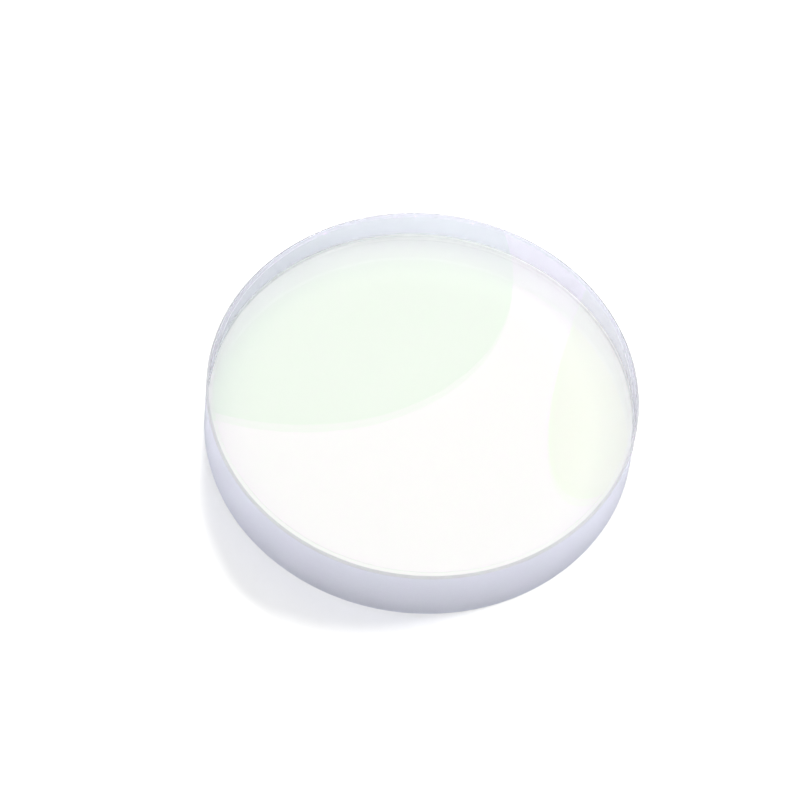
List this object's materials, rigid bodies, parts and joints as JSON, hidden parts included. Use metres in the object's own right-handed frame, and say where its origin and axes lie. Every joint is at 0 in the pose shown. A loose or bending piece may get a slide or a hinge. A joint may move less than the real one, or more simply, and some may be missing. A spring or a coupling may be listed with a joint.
{
  "type": "watch glass",
  "caption": "Thick round flat watch glass with polished coated faces, a finely ground edge and small bevels, to be pressed into a watch case.",
  "frame": {"origin": "centre of the rear face, where the glass lies on a surface", "axes": "+Z out of the front face along the axis of the disc; X and Y lie in the rear face and are alike, because the disc is round"},
  "size_m": [0.03, 0.03, 0.005],
  "materials": {
    "optical_glass": "polished faces, finely ground edge and bevels",
    "front_film": "clear thin film with a pale green cast",
    "rear_film": "clear thin film with a pale green cast"
  },
  "bodies": {
    "root": {"glass_body": "optical_glass", "front_coating": "front_film", "rear_coating": "rear_film"}
  },
  "joints": []
}
